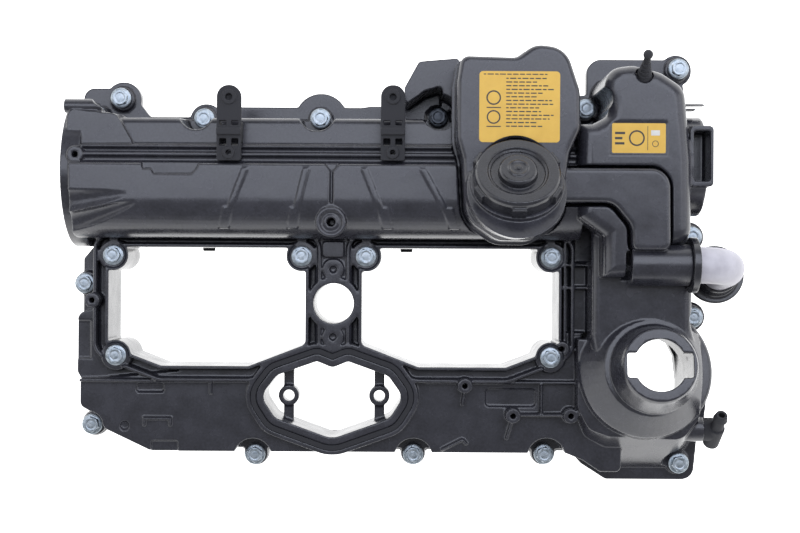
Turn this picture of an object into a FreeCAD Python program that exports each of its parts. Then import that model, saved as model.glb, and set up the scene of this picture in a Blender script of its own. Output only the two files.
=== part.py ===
"""Engine valve cover of a four-cylinder engine, with its oil separator, seals and fasteners.

Frame: millimetres, origin on the axis of the centre bore in the gasket plane, X along the
engine, Y towards the camshaft hood, Z up.
"""

import FreeCAD
import Part
import math
import os
import re
from collections import namedtuple

Vector = FreeCAD.Vector
Rotation = FreeCAD.Rotation
Disc = namedtuple("Disc", "x y radius")

SIZES = {
    "cylinder_pitch": 91.0,
    "wall": 3.0,
    "flange_thickness": 10.0,
    "boss_height": 14.0,
    "deck_height": 38.0,
    "frame_height": 46.0,
    "channel_depth": 12.0,
    "channel_width": 6.5,
    "rim_width": 2.2,
    "hood_height": 80.0,
    "shelf_height": 64.0,
    "base_height": 66.0,
    "separator_height": 101.0,
    "duct_height": 92.0,
    "housing_height": 86.0,
    "right_body_height": 64.0,
    "dome_height": 66.0,
    "neck_height": 95.0,
    "neck_radius": 24.8,
    "neck_tilt": 11.0,
    "mouth_radius": 17.8,
    "mouth_slot_length": 44.4,
    "mouth_slot_width": 16.8,
    "bore_radius": 14.25,
    "lid_radius": 28.5,
    "lid_depth": 11.0,
    "lid_tilt": 36.0,
    "lid_top": 119.5,
    "port_radius": 14.4,
    "port_axis_height": 74.0,
    "port_end": 245.0,
    "pipe_radius": 12.6,
    "pipe_wall": 1.8,
    "pipe_bend": 22.0,
    "pipe_leg": 34.0,
    "disc_radius": 21.0,
    "disc_thickness": 3.5,
    "head_flange_radius": 7.4,
    "head_flange_thickness": 1.6,
    "head_hex_width": 10.0,
    "head_height": 5.0,
    "bolt_lift": 6.0,
    "shank_radius": 3.0,
    "sleeve_radius": 4.6,
    "sleeve_bore": 3.3,
    "gasket_width": 4.6,
    "gasket_depth": 4.0,
    "gasket_proud": 1.0,
    "sticker_thickness": 0.25,
    "rib_width": 1.6,
}

doc = FreeCAD.newDocument("ValveCover")
sheet = doc.addObject("Spreadsheet::Sheet", "Sizes")
for row, (alias, value) in enumerate(SIZES.items(), 1):
    sheet.set(f"A{row}", alias)
    sheet.set(f"B{row}", str(value))
    sheet.setAlias(f"B{row}", alias)
doc.recompute()

S = type("Read", (), {alias: getattr(sheet, alias) for alias in SIZES})
ALIAS = re.compile(r"\b(" + "|".join(SIZES) + r")\b")
NODES = {}


def bind(item, **formulas):
    """Ties properties to the sheet; a dot in a property name is written as two underscores."""
    for prop, formula in formulas.items():
        item.setExpression(prop.replace("__", "."), ALIAS.sub(r"Sizes.\1", formula))
    return item


def corner(before, point, after, radius):
    """Start, middle and end of the arc that rounds one corner of an outline."""
    a = Vector(before[0] - point[0], before[1] - point[1], 0).normalize()
    b = Vector(after[0] - point[0], after[1] - point[1], 0).normalize()
    half = a.getAngle(b) / 2
    reach = radius / math.tan(half)
    centre = Vector(point[0], point[1], 0) + (a + b).normalize() * (radius / math.sin(half))
    apex = centre - (a + b).normalize() * radius
    here = Vector(point[0], point[1], 0)
    return here + a * reach, apex, here + b * reach


def outline_edges(points):
    """Lines and arcs of a closed outline. A point is (x, y) or (x, y, corner radius)."""
    count = len(points)
    stops = []
    for i, point in enumerate(points):
        if len(point) > 2 and point[2] > 0:
            stops.append(corner(points[i - 1], point, points[(i + 1) % count], point[2]))
        else:
            stops.append((Vector(point[0], point[1], 0),))
    edges = []
    for i, stop in enumerate(stops):
        if len(stop) == 3:
            edges.append(Part.Arc(*stop))
        start, end = stop[-1], stops[(i + 1) % count][0]
        if (end - start).Length > 1e-6:
            edges.append(Part.LineSegment(start, end))
    return edges


def inset(points, depth):
    """The outline moved inwards by depth; corner radii shrink outside and grow inside."""
    area = sum(a[0] * b[1] - b[0] * a[1] for a, b in zip(points, points[1:] + points[:1]))
    turn = 1 if area > 0 else -1
    count = len(points)
    moved = []
    for i, point in enumerate(points):
        before, after = points[i - 1], points[(i + 1) % count]
        d1 = Vector(point[0] - before[0], point[1] - before[1], 0).normalize()
        d2 = Vector(after[0] - point[0], after[1] - point[1], 0).normalize()
        n1 = Vector(-d1.y, d1.x, 0) * turn
        n2 = Vector(-d2.y, d2.x, 0) * turn
        shift = (n1 + n2) * (depth / (1 + n1.dot(n2)))
        convex = (d1.x * d2.y - d1.y * d2.x) * turn > 0
        radius = point[2] if len(point) > 2 else 0
        radius = max(radius - depth, 0) if convex else (radius + depth if radius else 0)
        moved.append((point[0] + shift.x, point[1] + shift.y, radius))
    return moved


def mirrored(points):
    """The outline mirrored across the engine's cross plane through the centre bore."""
    return [(-p[0],) + tuple(p[1:]) for p in reversed(points)]


def shifted(points, dx, dy=0.0):
    """The outline moved in its plane."""
    return [(p[0] + dx, p[1] + dy) + tuple(p[2:]) for p in points]


def rectangle(x0, y0, x1, y1, radius=0.0):
    """A rectangle by two opposite corners, its corners rounded alike."""
    return [(x0, y0, radius), (x1, y0, radius), (x1, y1, radius), (x0, y1, radius)]


def strip(x0, y0, x1, y1, width):
    """A narrow band from one point to another."""
    along = Vector(x1 - x0, y1 - y0, 0).normalize() * (width / 2)
    return [
        (x0 - along.y, y0 + along.x),
        (x0 + along.y, y0 - along.x),
        (x1 + along.y, y1 - along.x),
        (x1 - along.y, y1 + along.x),
    ]


FACINGS = {
    "top": Rotation(),
    "side": Rotation(Vector(1, 1, 1), 120),
    "front": Rotation(Vector(1, 0, 0), 90),
}


def as_list(outlines):
    """One outline or several, always as a list of outlines."""
    return outlines if isinstance(outlines[0], (list, Disc)) else [outlines]


def fill(sketch, outlines):
    """Adds closed outlines and discs to a sketch."""
    for outline in as_list(outlines):
        if isinstance(outline, Disc):
            centre = Vector(outline.x, outline.y, 0)
            sketch.addGeometry(Part.Circle(centre, Vector(0, 0, 1), outline.radius), False)
        else:
            sketch.addGeometry(outline_edges(outline), False)


def drawn(name, outlines, facing="top"):
    """A sketch of one or more closed outlines or discs."""
    sketch = doc.addObject("Sketcher::SketchObject", name + "_sketch")
    fill(sketch, outlines)
    sketch.Placement = FreeCAD.Placement(Vector(), FACINGS[facing])
    return sketch


def slab(name, outlines, bottom, top, facing="top"):
    """Outlines extruded between two heights (or two X stations for a side profile)."""
    sketch = drawn(name, outlines, facing)
    axis = {"top": "z", "side": "x", "front": "y"}[facing]
    start = f"-({bottom})" if facing == "front" else bottom
    if facing == "front":
        bind(sketch, Placement__Base__y=f"{top}")
    else:
        bind(sketch, **{f"Placement__Base__{axis}": start})
    solid = doc.addObject("Part::Extrusion", name)
    solid.Base = sketch
    solid.DirMode = "Normal"
    solid.Solid = True
    return bind(solid, LengthFwd=f"({top}) - ({bottom})")


def post(name, x, y, radius, bottom, top):
    """An upright cylinder between two heights."""
    solid = doc.addObject("Part::Cylinder", name)
    solid.Placement.Base = Vector(x, y, 0)
    return bind(solid, Radius=str(radius), Placement__Base__z=bottom, Height=f"({top}) - ({bottom})")


def rod(name, start, end, radius):
    """A round bar between two points."""
    run = Vector(*end) - Vector(*start)
    solid = doc.addObject("Part::Cylinder", name)
    solid.Placement = FreeCAD.Placement(Vector(*start), Rotation(Vector(0, 0, 1), run))
    return bind(solid, Radius=str(radius), Height=str(run.Length))


def cone(name, start, end, radius0, radius1):
    """A tapered round bar between two points."""
    run = Vector(*end) - Vector(*start)
    solid = doc.addObject("Part::Cone", name)
    solid.Placement = FreeCAD.Placement(Vector(*start), Rotation(Vector(0, 0, 1), run))
    return bind(solid, Radius1=str(radius0), Radius2=str(radius1), Height=str(run.Length))


def turned(name, profile, place=None, angle=360.0):
    """A body turned about its own Z axis from an (r, z) profile."""
    body = doc.addObject("PartDesign::Body", name)
    plane = body.Origin.OriginFeatures[4]
    sketch = body.newObject("Sketcher::SketchObject", name + "_profile")
    sketch.AttachmentSupport = [(plane, "")]
    sketch.MapMode = "FlatFace"
    sketch.addGeometry(outline_edges(profile), False)
    turn = body.newObject("PartDesign::Revolution", name + "_turn")
    turn.Profile = sketch
    turn.ReferenceAxis = (sketch, ["V_Axis"])
    turn.Angle = angle
    body.Tip = turn
    if place is not None:
        body.Placement = place
    return body


def padded(name, outlines, length, place=None):
    """A body padded upwards from outlines on its own XY plane."""
    body = doc.addObject("PartDesign::Body", name)
    sketch = body.newObject("Sketcher::SketchObject", name + "_outline")
    sketch.AttachmentSupport = [(body.Origin.OriginFeatures[3], "")]
    sketch.MapMode = "FlatFace"
    fill(sketch, outlines)
    pad = body.newObject("PartDesign::Pad", name + "_pad")
    pad.Profile = sketch
    bind(pad, Length=length)
    body.Tip = pad
    if place is not None:
        body.Placement = place
    return body


def fused(name, items):
    """Several solids joined in one, or the only one as it is."""
    if len(items) == 1:
        return items[0]
    joined = doc.addObject("Part::MultiFuse", name)
    joined.Shapes = items
    return joined


def minus(name, base, tools):
    """A solid with the tools cut away."""
    tool = fused(name + "_tools", tools)
    cut = doc.addObject("Part::Cut", name)
    cut.Base = base
    cut.Tool = tool
    return cut


def shared(name, one, other):
    """What two solids have in common."""
    both = doc.addObject("Part::Common", name)
    both.Base = one
    both.Tool = other
    return both


def rounded_edges(name, base, radius, chosen):
    """Rounds the edges of base that the test picks."""
    doc.recompute()
    picked = []
    for i, edge in enumerate(base.Shape.Edges, 1):
        if chosen(edge):
            picked.append((i, radius, radius))
    fillet = doc.addObject("Part::Fillet", name)
    fillet.Base = base
    fillet.Edges = picked
    return fillet


def at_height(height):
    """Picks the edges that lie level at one height."""

    def test(edge):
        box = edge.BoundBox
        return abs(box.ZMin - height) < 0.01 and abs(box.ZMax - height) < 0.01

    return test


def node(label, item):
    """Keeps one finished piece under the name that its file gets."""
    item.Label = label
    NODES[label] = item
    return item


# Plan of the fastening points, read from the photograph at the height of the bolt heads.
PERIMETER_BOLTS = [
    (-156.3, 147.3), (-95.7, 132.7), (-11.5, 133.2), (181.0, 141.3), (247.9, 170.9),
    (258.1, 49.2), (259.2, -9.1), (249.6, -114.9), (151.9, -108.9), (57.1, -109.5),
    (-57.4, -110.2), (-175.6, -89.1), (-181.3, 13.0),
]
RECESS_BOLT = (73.8, 134.8)
WINDOW_BOLTS = [
    (-156.0, 33.4), (-22.8, 33.4), (22.8, 33.4), (153.6, 33.4), (-153.8, -37.4), (153.6, -37.4),
]
ALL_PERIMETER = PERIMETER_BOLTS + [RECESS_BOLT]
FLANGE_BOSS_RADIUS = [13.0, 12.0, 19.5, 11.5, 11.5, 11.0, 11.0, 12.0, 9.2, 9.2, 9.2, 9.6, 9.2, 17.0]
ACCESS_RADIUS = [12.5, 12.0, 13.0, 9.8, 11.5, 11.5, 11.0, 11.5, 13.5, 13.5, 13.5, 11.5, 10.0, 13.0]

FLANGE = [
    (-185.5, 52, 5), (-185.5, 155.7, 8), (-152, 155.7, 3), (-143, 143, 4), (-137, 135, 4),
    (-92, 135, 3), (-80, 142.5, 3), (18, 142.5, 4), (24, 143.5, 3), (54, 143.5, 4),
    (66, 158, 5), (96, 166, 5), (160, 160, 8), (172, 149, 5), (182.5, 150, 4),
    (182.5, 179, 11), (250, 179, 8), (254, 156, 6), (254, 38, 5), (250, 24, 4),
    (252, -2, 4), (264, -28, 12), (269, -52, 14), (266, -88, 12), (262, -128.4, 9),
    (198, -128.4, 4), (180, -117, 5), (172, -108, 5), (-129.7, -107, 3), (-162, -92, 4),
    (-181, -78, 6), (-181, -58, 3), (-184.8, -52, 3), (-184.8, 31, 3), (-174.8, 43, 4),
]
GASKET_LINE = [
    (-176, 54, 8), (-176, 131, 6), (-150, 128, 8), (-110, 124, 8),
    (-98, 118, 7), (-86, 120, 7), (-28, 122, 8), (-12, 116.5, 8), (4, 122, 8),
    (56, 124, 8), (74, 118, 8), (92, 124, 8), (160, 122, 8), (186, 124, 8),
    (197, 132, 8), (197, 166, 8), (232, 168, 8), (243, 148, 8), (243, 30, 6),
    (242, -12, 8), (254, -36, 8), (257, -60, 8), (252, -92, 8), (238, -102, 8),
    (232, -118, 6), (204, -118, 6), (186, -106, 6), (168, -97, 6), (-126, -97, 6),
    (-154, -84, 8), (-172, -72, 6), (-172, -10, 6), (-169.2, 0, 6), (-169.2, 40, 6),
]
LAND_WIDTH = 6.5

HALF_WINDOW = 69.6
WINDOW_SPAN = S.cylinder_pitch - 1.5
WINDOW_LEFT = shifted(
    [
        (-HALF_WINDOW, 39.2, 2), (-HALF_WINDOW, -29.4, 3), (-57.5, -35, 3), (-32.4, -44.6, 3),
        (29.6, -44.6, 3), (HALF_WINDOW - 1.2, -29.6, 3), (HALF_WINDOW, -27, 2),
        (HALF_WINDOW, 39.2, 2),
    ],
    -WINDOW_SPAN,
)
WINDOWS = {"left": WINDOW_LEFT, "right": mirrored(WINDOW_LEFT)}
SEAL_LEFT = shifted(
    [
        (-74.8, 44.4, 5), (-74.8, -45, 6), (-40, -50, 6), (31.5, -50, 6), (72.4, -33, 5),
        (72.4, 15, 4), (76.4, 23, 4), (76.4, 44.4, 4),
    ],
    -WINDOW_SPAN,
)
SEALS = {"left": SEAL_LEFT, "right": mirrored(SEAL_LEFT)}

MOTOR_OPENING = [
    (-0.5, -45.4, 5), (10.5, -40.9, 3), (39, -51.0, 9), (49.6, -65.8, 9), (40, -81.0, 9),
    (-0.5, -95.6, 16), (-41, -81.0, 9), (-51, -65.8, 9), (-40, -51.0, 9), (-11.5, -40.9, 3),
]
BAR_X = (-32.5, 32.5)
BAR_Y = -66.6

DECK = [
    (-180.5, -56), (-180.5, -74, 5), (-170, -80, 4), (-162.5, -90.5, 4), (-129.7, -106, 2),
    (166, -106, 3), (178, -111, 4), (190, -119, 4), (205, -119, 4), (205, -20), (160, -20),
]
ZONE = [
    (-167.5, 47), (-167.5, -4, 3), (-183.5, -8, 7), (-183.5, -50, 4), (-179.5, -57, 3),
    (198, -57), (198, 60), (150, 60),
]

HOOD_LEFT = -180.0
HOOD_RIGHT = 172.0
HOOD_PROFILE = [
    (45.5, 6), (45.5, 80, 27), (96, 79, 2), (97.5, 71.5, 1), (101, 71.5), (101.4, 74.5, 0.6),
    (103.6, 74.5, 0.6), (104, 67.5), (107, 67.5), (107.4, 70, 0.6), (109.4, 70, 0.6),
    (110, 64, 1), (128.8, 62, 5), (133, 6),
]

HOUSING = [
    (185, 20), (185, 48), (168, 60), (168, 124, 3), (178, 124.5, 5), (190, 131, 8),
    (185.2, 147, 11), (187, 162, 12), (205, 164.5, 14), (224, 159.5, 16), (240, 149, 14),
    (244.5, 100, 14), (245, 44, 11), (215, 40, 11), (215, 20),
]
RIGHT_BODY = [(180, 60), (180, -20), (186, -60), (262, -60, 12), (250, -16, 14), (250, 60, 11)]

PORT_AXIS_Y = 28.5
LID_CENTRE = (123.4, 88.9)
NECK_CENTRE = (222.0, -38.5)
TILT = math.radians(S.lid_tilt)
LID_AXIS = Vector(0, math.sin(TILT), math.cos(TILT))
LID_TOP = Vector(LID_CENTRE[0], LID_CENTRE[1], S.lid_top)
LID_TURN = Rotation(Vector(1, 0, 0), -S.lid_tilt)


def along_lid(depth):
    """The point on the valve's tilted axis at a depth below the lid's top."""
    return LID_TOP - LID_AXIS * depth


def lid_place(depth):
    """The tilted frame on the valve's axis at a depth below the lid's top."""
    return FreeCAD.Placement(along_lid(depth), LID_TURN)


STUD_BASE = Vector(212.0, 156.0, 80.5)
STUD_AXIS = Vector(-1.2, 17.0, 28.0).normalize()

SEPARATOR = [
    (84.2, 150, 3), (87, 167.5, 6), (124, 166.5, 9), (136, 175.5, 15), (157, 173, 17),
    (166.4, 144, 26), (166.5, 119, 11), (159.4, 103, 14), (157, 84, 14), (156.6, 58, 19),
    (134, 44.0, 15), (112, 44.0, 15), (90.4, 58, 19), (88, 98, 8), (84.2, 112, 8),
]
DUCT = [
    (146, 93.6), (228.6, 93.6, 13), (229.2, 38.5, 5), (203.5, 38.5, 4), (202.6, 55, 11),
    (190, 70.4, 12), (146, 70.4),
]
SLAB_LEFT = [
    (49.4, 139.5, 2), (49.2, 152, 2), (59.3, 170.5, 4), (88, 173, 3), (88, 140), (76, 140),
    (76, 153.5, 3), (63.6, 149.5, 3),
]


def hood_band(name, top_y, x0, bottom_y, x1, width):
    """A slanted strengthening band over the hood."""
    points = [(x0 - width / 2, top_y), (x0 + width / 2, top_y),
              (x1 + width / 2, bottom_y), (x1 - width / 2, bottom_y)]
    return slab(name, points, "deck_height", "hood_height + 8")


def shell_forms():
    """The outer forms of the moulding, before it is hollowed."""
    plates = [
        slab("flange", FLANGE, "0", "flange_thickness"),
        slab("deck", DECK, "0", "deck_height"),
        slab("zone", ZONE, "0", "frame_height - channel_depth"),
    ]
    for i, ((x, y), radius) in enumerate(zip(ALL_PERIMETER, FLANGE_BOSS_RADIUS)):
        plates.append(post(f"flange_boss_{i}", x, y, radius, "0", "flange_thickness"))
    hood = slab("hood_profile", HOOD_PROFILE, str(HOOD_LEFT), str(HOOD_RIGHT), "side")
    end_arc = rod("end_plate_disc", (-187.0, 92, 22), (-174.0, 92, 22), 52.5)
    end_box = slab("end_plate_box", rectangle(-188, 38, -173, 146), "0", "hood_height + 4")
    corner_block = [
        (-184, 96), (-184, 141.5, 4), (-169, 141.5, 4), (-162, 133.5, 4), (-147, 131, 5),
        (-139, 124, 3), (-139, 96),
    ]
    shelf_step = [(-184, 100), (-184, 134, 5), (-150, 131, 6), (-139, 112, 4), (-139, 100)]
    forms = [
        hood,
        shared("end_plate", end_arc, end_box),
        slab("corner_block", corner_block, "0", "shelf_height - 6"),
        slab("shelf_step", shelf_step, "0", "shelf_height + 3"),
        rod("pipe_boss", (-186.5, 136.4, 62), (-160, 136.4, 62), 5.0),
        post("hood_end_boss", -176.3, 102, 5.6, "shelf_height - 8", "shelf_height + 12"),
        slab("slab_left", SLAB_LEFT, "flange_thickness - 4", "deck_height + 14"),
        slab("separator_base", inset(SEPARATOR, 1.5), "4", "base_height"),
        slab("duct_base", inset(DUCT, 1.5), "30", "base_height"),
        slab("duct_step_upper", inset(DUCT, -5.0), "30", "base_height - 7"),
        slab("duct_step_lower", inset(DUCT, -10.0), "30", "base_height - 15"),
    ]
    right_body = slab("right_body_block", RIGHT_BODY, "0", "right_body_height")
    forms.append(rounded_edges("right_body", right_body, 6.0, at_height(S.right_body_height)))
    housing = slab("housing_block", HOUSING, "6", "housing_height")
    forms.append(rounded_edges("housing", housing, 9.0, at_height(S.housing_height)))
    return plates, forms


def dome_forms():
    """The filler tower: its skirt, its shoulder and the leaning neck."""
    x, y = NECK_CENTRE
    foot = [(172, -24), (172, -88, 12), (178, -110, 9), (188, -121, 8), (246, -121, 12),
            (262, -98, 12), (262, -24)]
    brow = [(172, -24), (172, -72, 16), (180, -87, 10), (194, -92, 10), (246, -94, 12),
            (258, -78, 12), (258, -24)]
    skirt = doc.addObject("Part::Loft", "skirt")
    lower = drawn("skirt_foot", [foot])
    upper = drawn("skirt_brow", [brow])
    bind(lower, Placement__Base__z="flange_thickness - 2")
    bind(upper, Placement__Base__z="dome_height - 14")
    skirt.Sections = [lower, upper]
    skirt.Solid = True
    skirt.Ruled = True
    shoulder = cone("shoulder_cone", (x - 2, y - 7, S.dome_height - 14),
                    (x - 1, y - 4, S.dome_height + 4), 47.0, 33.0)
    limit = slab("shoulder_limit", rectangle(160, -96, 257, 20, 8), "20", "dome_height + 10")
    return [skirt, shared("shoulder", shoulder, limit)]


def neck_place():
    """Where the neck's rim centre lies and how far it leans towards the hood."""
    turn = Rotation(Vector(1, 0, 0), -S.neck_tilt)
    return FreeCAD.Placement(Vector(NECK_CENTRE[0], NECK_CENTRE[1], S.neck_height), turn)


def neck_form():
    """The neck's cone, which widens towards the tower."""
    radius = S.neck_radius
    depth = S.neck_height - S.dome_height + 10
    profile = [(0.0, -depth), (radius + 9.0, -depth), (radius + 1.2, -3.0), (radius - 0.2, 0.0),
               (0.0, 0.0)]
    return turned("neck", profile, neck_place())


def neck_cuts():
    """The round mouth, its bayonet slots and the wider well under the rim."""
    mouth = padded("mouth", [Disc(0.0, 0.0, S.mouth_radius)], "30")
    mouth.Placement = neck_place().multiply(FreeCAD.Placement(Vector(0, 0, -20), Rotation()))
    half_length, half_width = S.mouth_slot_length / 2, S.mouth_slot_width / 2
    slots = padded("mouth_slots", rectangle(-half_length, -half_width, half_length, half_width, 1.5), "30")
    slots.Placement = neck_place().multiply(FreeCAD.Placement(Vector(0, 0, -20), Rotation()))
    well = turned(
        "neck_well",
        [(0.0, -110.0), (24.0, -110.0), (22.6, -7.0), (0.0, -7.0)],
        neck_place(),
    )
    return [mouth, slots, well]


def shell_cavities():
    """The hollow under each form, open towards the cylinder head."""
    under_hood = [(48.5, -2), (48.5, 76.5, 23), (85, 76, 2), (86.5, 70, 2), (93, 69, 2),
                  (94, 61, 2), (124.5, 59, 4), (127.5, -2)]
    under_base = [(48.5, -2), (48.5, 57), (124.5, 57), (127.5, -2)]
    under_deck = [
        (-159.5, 56), (-159.5, 4), (-165, -4, 3), (-165, -66, 4), (-152, -76, 5), (-124, -90, 5),
        (164, -90, 5), (174, -84, 4), (174, 56),
    ]
    right = [
        (188, 30), (172, 30), (172, 118), (182, 121, 4), (200, 132, 8), (198, 158, 8),
        (226, 154, 8), (238, 140, 8), (240, 40, 8), (240, -24), (176, -24), (176, -20, 3), (188, -20),
    ]
    in_housing = [
        (172, 101), (172, 120, 3), (180, 120, 5), (197, 130, 6), (195.5, 146, 6), (197, 157, 5),
        (207, 159, 8), (222, 154, 8), (234, 145, 8), (239, 101),
    ]
    wide = [radius + S.wall for radius in ACCESS_RADIUS]
    hood = minus(
        "cavity_hood",
        slab("cavity_hood_block", under_hood, "-165", "80", "side"),
        posts("pocket_wall", ALL_PERIMETER[1:3] + [RECESS_BOLT], wide[1:3] + wide[-1:], "-5", "90"),
    )
    return [
        slab("cavity_zone", under_deck, "-2", "frame_height - channel_depth - wall"),
        hood,
        slab("cavity_base", under_base, "93", "168", "side"),
        slab("cavity_right", right, "-2", "right_body_height - wall - 4"),
        slab("cavity_housing", in_housing, "20", "housing_height - wall - 1.5"),
        filler_cavity(),
    ]


def filler_cavity():
    """The hollow inside the filler tower's skirt."""
    foot = [(178, -20), (178, -80, 12), (196, -106, 8), (206, -112, 6), (240, -112, 8),
            (250, -96, 8), (250, -20)]
    brow = [(180, -20), (180, -60, 12), (192, -74, 8), (204, -78, 6), (240, -80, 8),
            (248, -68, 8), (248, -20)]
    lower = drawn("filler_hollow_foot", [foot])
    upper = drawn("filler_hollow_brow", [brow])
    bind(lower, Placement__Base__z="-2")
    bind(upper, Placement__Base__z="dome_height - 14")
    hollow = doc.addObject("Part::Loft", "filler_hollow")
    hollow.Sections = [lower, upper]
    hollow.Solid = True
    hollow.Ruled = True
    return hollow


def kept_walls():
    """Walls that stand from the deck down to the cylinder head, round every well."""
    top = "frame_height - channel_depth"
    wells = [slab(f"well_wall_{side}", inset(outline, -S.wall), "0", top)
             for side, outline in WINDOWS.items()]
    feet = [slab(f"well_foot_{side}", inset(line, -4.0), "0", "6") for side, line in SEALS.items()]
    motor = [
        slab("motor_ring", inset(MOTOR_OPENING, -12.5), "14", "frame_height"),
        slab("motor_drop", inset(MOTOR_OPENING, -S.wall), "0", "14"),
    ]
    columns = [post(f"window_column_{i}", x, y, 10.8, "0", "frame_height - 2")
               for i, (x, y) in enumerate(WINDOW_BOLTS)]
    columns.append(post("bore_wall", 0, 0, S.bore_radius + 4.5, "0", "frame_height"))
    side_floor = slab("side_floor", rectangle(165, -34, 194, 68), "22", "22 + wall")
    return [fused("wells", wells), fused("feet", feet), fused("motor_walls", motor),
            fused("columns", columns), side_floor]


SCREW_BOSSES = [(93.1, -57.5), (127.1, -78.5), (167.9, -78.3), (161.3, -31.0), (-170.1, 1.5)]
BRIDGE_BOSSES = [(-0.4, 24.2), (-0.4, -23.6)]
HOOD_BOSS = (-0.5, 56.4)
HOOD_BANDS = [(-59.3, -71.0), (-17.6, -25.0), (22.0, 34.5), (61.9, 79.0)]
RIBS = [
    ((-180, -55.5), (-57, -55.5), 5.0), ((66, -55.5), (172, -55.5), 5.0),
    ((-87.2, -56), (-87.2, -65), 3.0), ((-134.8, -82.6), (-115.6, -82.6), 2.5),
    ((-134.4, -82), (-134.4, -88), 2.5), ((-116, -82), (-116, -88), 2.5),
    ((77, -104), (92, -96.5), 3.0), ((92, -96.5), (95, -100), 3.0),
    ((93.1, -62), (91.5, -72), 5.0), ((127.1, -82), (123, -96), 5.0),
    ((131, -78.5), (165, -78.3), 7.0), ((147.5, -57), (147.5, -78), 7.0),
    ((171, -78), (180, -76), 7.0), ((160, 28.2), (186, 28.2), 7.0), ((160, 12), (186, 12), 7.0),
    ((166, -31), (184, -33), 7.0), ((163.5, -29), (163.5, 44), 7.0),
    ((184.5, -18), (184.5, 58), 14.0), ((191.5, 0), (191.5, 58), 20.0),
]


def posts(name, spots, radius, bottom, top):
    """Like upright cylinders at every spot; radius is one value or a list of them."""
    radii = radius if isinstance(radius, list) else [radius] * len(spots)
    return [post(f"{name}_{i}", x, y, radii[i], bottom, top) for i, (x, y) in enumerate(spots)]


def frames():
    """The double rims round both windows, with the gutter between them."""
    floor = "frame_height - channel_depth - 1"
    outer, inner = [], []
    for side, outline in WINDOWS.items():
        edge = inset(outline, -(S.rim_width + S.channel_width))
        rim = slab(f"frame_outer_{side}", inset(edge, -S.rim_width), floor, "frame_height")
        outer.append(minus(f"frame_rim_{side}", rim,
                           [slab(f"frame_gap_{side}", edge, "0", "frame_height + 5")]))
        inner.append(slab(f"frame_inner_{side}", inset(outline, -S.rim_width), floor, "frame_height"))
    bridge = slab("bridge", rectangle(-12.7, -42, 12.7, 47, 2), floor, "frame_height - 2")
    return [fused("frame_outer", outer), fused("frame_inner", inner), bridge]


def bosses():
    """Screw bosses and the round bosses on the bridge and the hood."""
    items = posts("screw_boss", SCREW_BOSSES, 5.2, "8", "frame_height + 3")
    items += posts("bridge_boss", BRIDGE_BOSSES, 7.4, "frame_height - channel_depth - 1", "frame_height")
    boss = post("hood_boss_block", *HOOD_BOSS, 10.3, "deck_height", "deck_height + 36")
    face = post("hood_boss_face", *HOOD_BOSS, 7.6, "deck_height + 34.6", "deck_height + 40")
    items.append(minus("hood_boss", boss, [face]))
    items.append(slab("bridge_tab", rectangle(-7.5, 33, 7, 43.5, 1), "deck_height", "frame_height + 2"))
    return fused("bosses", items)


def hood_bands():
    """The slanted strengthening bands that run over the hood and end in a wider foot."""
    plans = []
    for i, (top_x, bottom_x) in enumerate(HOOD_BANDS):
        lean = (bottom_x - top_x) * 0.3
        plans.append(hood_band(f"band_strip_{i}", 93.0, top_x, 62.0, bottom_x, 3.4))
        plans.append(hood_band(f"band_foot_{i}", 66.0, bottom_x, 52.0, bottom_x + lean, 6.5))
    raised = slab("band_profile", inset(HOOD_PROFILE[:2] + [(95.5, 79), (95.5, 6)], -0.8),
                  "-90", "98", "side")
    return shared("bands", fused("band_plans", plans), raised)


def ribs():
    """Thin upright ribs on the deck and beside the right window."""
    items = []
    for i, ((x0, y0), (x1, y1), height) in enumerate(RIBS):
        items.append(slab(f"rib_{i}", strip(x0, y0, x1, y1, S.rib_width), "deck_height - 6",
                          f"deck_height + {height}"))
    return fused("ribs", items)


def connector_forms():
    """The upright plug socket at the right, its arms and the round actuator boss behind it."""
    forms = [
        slab("socket_block", rectangle(244.5, 82.2, 260.8, 123.8, 3), "46", "78"),
        rod("actuator_boss", (232, 98, 44), (256.5, 98, 44), 35.0),
    ]
    for i, y in enumerate((117.6, 103.5, 86.5)):
        forms.append(slab(f"socket_arm_{i}", rectangle(234, y - 1.5, 247, y + 1.5), "50", "75"))
    forms.append(rod("fitting_boss", (240, -88, 38), (262.5, -88, 38), 8.9))
    forms.append(slab("clip_fins", [strip(236, 140.2, 258, 140.2, 1.5), strip(236, 136.8, 252, 136.8, 1.3)],
                      "50", "60"))
    forms.append(slab("side_rib", [(250, -8), (262, -22, 8), (270, -50, 10), (266, -84, 10),
                                   (258, -92), (250, -60)], "6", "28"))
    return forms


def openings():
    """The two windows (their corner bolts stay), the motor opening and the bore."""
    cuts = []
    for side, outline in WINDOWS.items():
        block = slab(f"window_block_{side}", outline, "-5", "hood_height + 20")
        spots = [spot for spot in WINDOW_BOLTS if (spot[0] < 0) == (side == "left")]
        cuts.append(minus(f"window_{side}", block,
                          posts(f"keep_{side}", spots, 10.8, "-6", "hood_height + 21")))
    cuts.append(slab("motor_hole", MOTOR_OPENING, "-5", "hood_height"))
    cuts.append(post("bore", 0, 0, S.bore_radius, "-5", "hood_height"))
    return fused("openings", cuts)


def grooves():
    """Seal grooves: under each window, under the flange and on top of the motor ring."""
    cuts = [gasket_ring("flange_groove", GASKET_LINE, S.gasket_width, "-1", "gasket_depth")]
    for side, line in SEALS.items():
        cuts.append(gasket_ring(f"window_groove_{side}", line, 3.6, "-1", "3.5"))
    cuts.append(gasket_ring("motor_groove", inset(MOTOR_OPENING, -7.3), 3.6, "frame_height - 4",
                            "frame_height + 4"))
    return fused("grooves", cuts)


def scoops(name, extra):
    """The two leaf-shaped hollows at the hood's left end, or the same forms with a wall around them."""
    return [
        cone(name + "_upper", (-184, 68, 86), (-122, 78, 83), 12.0 + extra, 1.6 + extra),
        cone(name + "_lower", (-184, 51, 76), (-126, 72, 82.5), 10.5 + extra, 1.2 + extra),
    ]


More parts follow.
